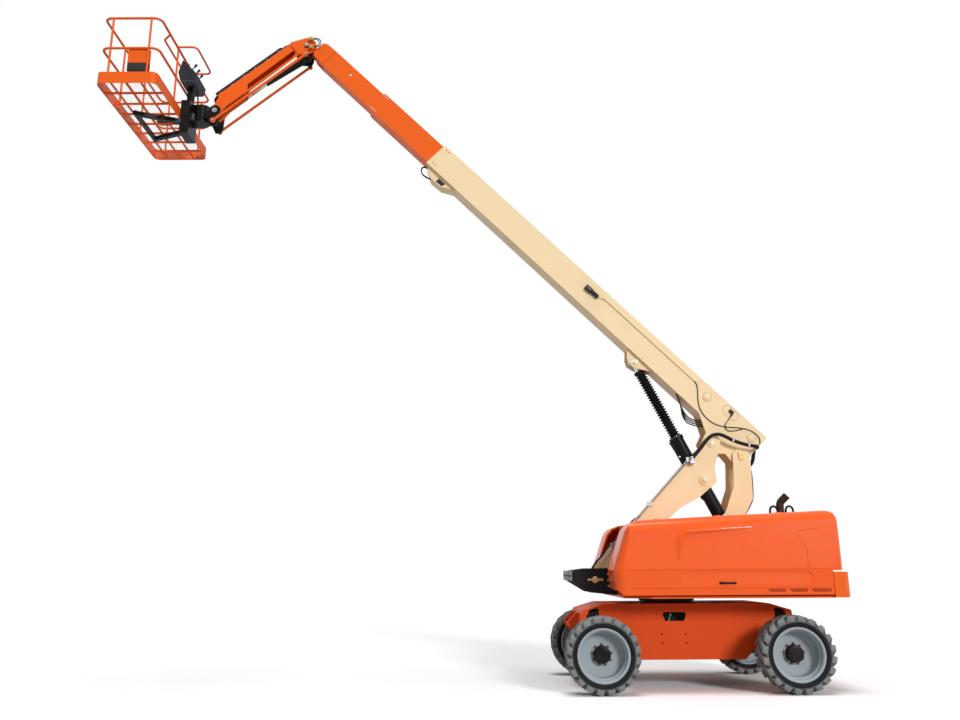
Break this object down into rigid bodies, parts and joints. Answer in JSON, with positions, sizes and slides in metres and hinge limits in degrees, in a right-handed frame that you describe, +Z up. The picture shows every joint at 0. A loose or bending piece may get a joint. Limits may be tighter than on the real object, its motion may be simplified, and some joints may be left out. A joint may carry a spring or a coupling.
{
  "type": "telescopic boom lift",
  "caption": "Self-propelled telescopic boom lift: wheeled chassis, slewing turntable, tower linkage, telescoping boom, levelled jib and railed work platform.",
  "frame": {"origin": "on the ground, below the middle of the overall box", "axes": "+X forward to the platform, +Y to the machine's left, +Z up"},
  "size_m": [10.606, 2.49, 10.1984],
  "materials": {
    "orange_paint": "gloss paint",
    "orange_cover": "gloss moulded cover",
    "orange_casting": "painted casting",
    "cream_paint": "gloss paint",
    "black_paint": "satin paint",
    "engine_grey": "painted casting",
    "exhaust_steel": "heat-stained steel",
    "rod_chrome": "hard chrome",
    "boot_rubber": "matt",
    "rim_paint": "satin paint",
    "tyre_rubber": "dusty",
    "mesh_steel": "painted mesh",
    "black_plastic": "matt"
  },
  "bodies": {
    "chassis": {"chassis_frame": "orange_paint", "slew_ring": "black_paint", "axle_front": "black_paint", "axle_rear": "black_paint"},
    "knuckle_left": {"knuckle_left": "black_paint"},
    "knuckle_right": {"knuckle_right": "black_paint"},
    "tie_rod": {"tie_rod": "black_paint"},
    "turntable": {"turntable_frame": "orange_paint", "front_bracket": "black_paint", "counterweight": "orange_casting", "engine_block": "engine_grey", "exhaust_stack": "exhaust_steel"},
    "hood_left": {"hood_left": "orange_cover"},
    "hood_right": {"hood_right": "orange_cover"},
    "tower_arm": {"tower_arm": "cream_paint"},
    "tower_link": {"tower_link": "cream_paint"},
    "boom_base": {"boom_base": "cream_paint", "hose_guide": "cream_paint", "sensor_box": "black_plastic"},
    "boom_mid": {"boom_mid": "orange_paint"},
    "boom_fly": {"boom_fly": "orange_paint"},
    "lift_rod": {"lift_rod": "rod_chrome", "lift_boot": "boot_rubber"},
    "lift_barrel": {"lift_barrel": "black_paint"},
    "level_knuckle": {"level_knuckle": "black_paint"},
    "jib": {"jib_arm": "orange_paint", "jib_hose_cover": "black_plastic"},
    "jib_links": {"jib_links": "orange_paint"},
    "jib_barrel": {"jib_barrel": "black_paint"},
    "jib_rod": {"jib_rod": "rod_chrome"},
    "platform_yoke": {"platform_yoke": "black_paint"},
    "platform": {"platform_support": "black_paint", "platform_floor": "orange_paint", "platform_mesh": "mesh_steel", "platform_rails": "orange_paint", "rail_posts": "orange_paint", "control_console": "black_plastic", "tool_box": "black_plastic"},
    "front_left_wheel": {"front_left_rim": "rim_paint", "front_left_tyre": "tyre_rubber"},
    "front_right_wheel": {"front_right_rim": "rim_paint", "front_right_tyre": "tyre_rubber"},
    "rear_left_wheel": {"rear_left_rim": "rim_paint", "rear_left_tyre": "tyre_rubber"},
    "rear_right_wheel": {"rear_right_rim": "rim_paint", "rear_right_tyre": "tyre_rubber"}
  },
  "joints": [
    {"name": "front_left_spin", "type": "hinge", "parent": "chassis", "child": "front_left_wheel", "pos_m": [-2.002, 1.0675, 0.4825], "axis": [0, 1, 0], "continuous": true},
    {"name": "front_right_spin", "type": "hinge", "parent": "chassis", "child": "front_right_wheel", "pos_m": [-2.002, -1.0675, 0.4825], "axis": [0, 1, 0], "continuous": true},
    {"name": "rear_left_spin", "type": "hinge", "parent": "knuckle_left", "child": "rear_left_wheel", "pos_m": [-4.482, 1.0675, 0.4825], "axis": [0, 1, 0], "continuous": true},
    {"name": "rear_right_spin", "type": "hinge", "parent": "knuckle_right", "child": "rear_right_wheel", "pos_m": [-4.482, -1.0675, 0.4825], "axis": [0, 1, 0], "continuous": true},
    {"name": "steer_left", "type": "hinge", "parent": "chassis", "child": "knuckle_left", "pos_m": [-4.482, 0.77, 0.4825], "axis": [0, 0, 1], "range_deg": [-32, 32]},
    {"name": "steer_right", "type": "hinge", "parent": "chassis", "child": "knuckle_right", "pos_m": [-4.482, -0.77, 0.4825], "axis": [0, 0, 1], "range_deg": [-32.1, 32.1]},
    {"name": "tie_rod_turn", "type": "hinge", "parent": "knuckle_left", "child": "tie_rod", "pos_m": [-4.252, 0.77, 0.4075], "axis": [0, 0, 1], "range_deg": [-32.1, 32.1]},
    {"name": "slew", "type": "hinge", "parent": "chassis", "child": "turntable", "pos_m": [-3.092, 0, 1.17], "axis": [0, 0, 1], "continuous": true},
    {"name": "hood_left_open", "type": "hinge", "parent": "turntable", "child": "hood_left", "pos_m": [-3.242, 0.596, 2.2283], "axis": [0.9989, 0, -0.0472], "range_deg": [0, 62]},
    {"name": "hood_right_open", "type": "hinge", "parent": "turntable", "child": "hood_right", "pos_m": [-3.242, -0.596, 2.2283], "axis": [-0.9989, 0, 0.0472], "range_deg": [0, 62]},
    {"name": "tower_lift", "type": "hinge", "parent": "turntable", "child": "tower_arm", "pos_m": [-2.052, 0, 1.405], "axis": [0, -1, 0], "range_deg": [-21.41, 35.53]},
    {"name": "boom_lift", "type": "hinge", "parent": "tower_arm", "child": "boom_base", "pos_m": [-3.842, 0, 3.33], "axis": [0, -1, 0], "range_deg": [-80.3, 48.2]},
    {"name": "tower_link_turn", "type": "hinge", "parent": "boom_base", "child": "tower_link", "pos_m": [-4.263, 0, 3.12], "axis": [0, -1, 0], "range_deg": [-50.81, 84.52]},
    {"name": "lift_rod_turn", "type": "hinge", "parent": "boom_base", "child": "lift_rod", "pos_m": [-2.812, 0, 4.585], "axis": [0, -1, 0], "range_deg": [-5.02, 8.23]},
    {"name": "lift_stroke", "type": "slide", "parent": "lift_rod", "child": "lift_barrel", "axis": [-0.4432, 0, -0.8964], "range_m": [-0.5801, 0.349], "deforming": ["lift_boot"]},
    {"name": "boom_extend", "type": "slide", "parent": "boom_base", "child": "boom_mid", "axis": [0.7071, 0, 0.7071], "range_m": [-1.1, 3.5]},
    {"name": "fly_extend", "type": "slide", "parent": "boom_mid", "child": "boom_fly", "axis": [0.7071, 0, 0.7071], "range_m": [-1.1, 3.5]},
    {"name": "level_turn", "type": "hinge", "parent": "boom_fly", "child": "level_knuckle", "pos_m": [2.398, 0, 10.05], "axis": [0, -1, 0], "range_deg": [-27.19, 45.17]},
    {"name": "jib_lift", "type": "hinge", "parent": "level_knuckle", "child": "jib", "pos_m": [2.398, 0, 10.05], "axis": [0, -1, 0], "range_deg": [-20.16, 109.84]},
    {"name": "jib_links_turn", "type": "hinge", "parent": "level_knuckle", "child": "jib_links", "pos_m": [2.398, 0, 9.84], "axis": [0, -1, 0], "range_deg": [-20.26, 109.94]},
    {"name": "platform_level", "type": "hinge", "parent": "jib", "child": "platform_yoke", "pos_m": [3.848, 0, 8.84], "axis": [0, -1, 0], "range_deg": [-109.94, 20.26]},
    {"name": "jib_barrel_turn", "type": "hinge", "parent": "level_knuckle", "child": "jib_barrel", "pos_m": [2.448, 0, 9.835], "axis": [0, -1, 0], "range_deg": [-20.26, 109.94]},
    {"name": "jib_stroke", "type": "slide", "parent": "jib_barrel", "child": "jib_rod", "axis": [0.8235, 0, -0.5673], "range_m": [-0.0705, 0.3755]},
    {"name": "platform_rotate", "type": "hinge", "parent": "platform_yoke", "child": "platform", "pos_m": [4.088, 0, 8.84], "axis": [0, 0, 1], "range_deg": [-90, 90]}
  ],
  "couplings": [
    {"joint": "steer_right", "follows": "steer_left", "ratio": 1},
    {"joint": "tie_rod_turn", "follows": "steer_left", "ratio": -1},
    {"joint": "tower_lift", "follows": "boom_lift", "ratio": -0.44},
    {"joint": "tower_link_turn", "follows": "boom_lift", "ratio": -1.05},
    {"joint": "lift_rod_turn", "follows": "boom_lift", "ratio": -0.1},
    {"joint": "lift_stroke", "follows": "boom_lift", "m_per_rad": 0.4125},
    {"joint": "fly_extend", "follows": "boom_extend", "ratio": 1},
    {"joint": "level_turn", "follows": "boom_lift", "ratio": -0.56},
    {"joint": "jib_links_turn", "follows": "jib_lift", "ratio": 1},
    {"joint": "platform_level", "follows": "jib_lift", "ratio": -1},
    {"joint": "jib_barrel_turn", "follows": "jib_lift", "ratio": 1},
    {"joint": "jib_stroke", "follows": "jib_lift", "m_per_rad": 0.1948}
  ]
}
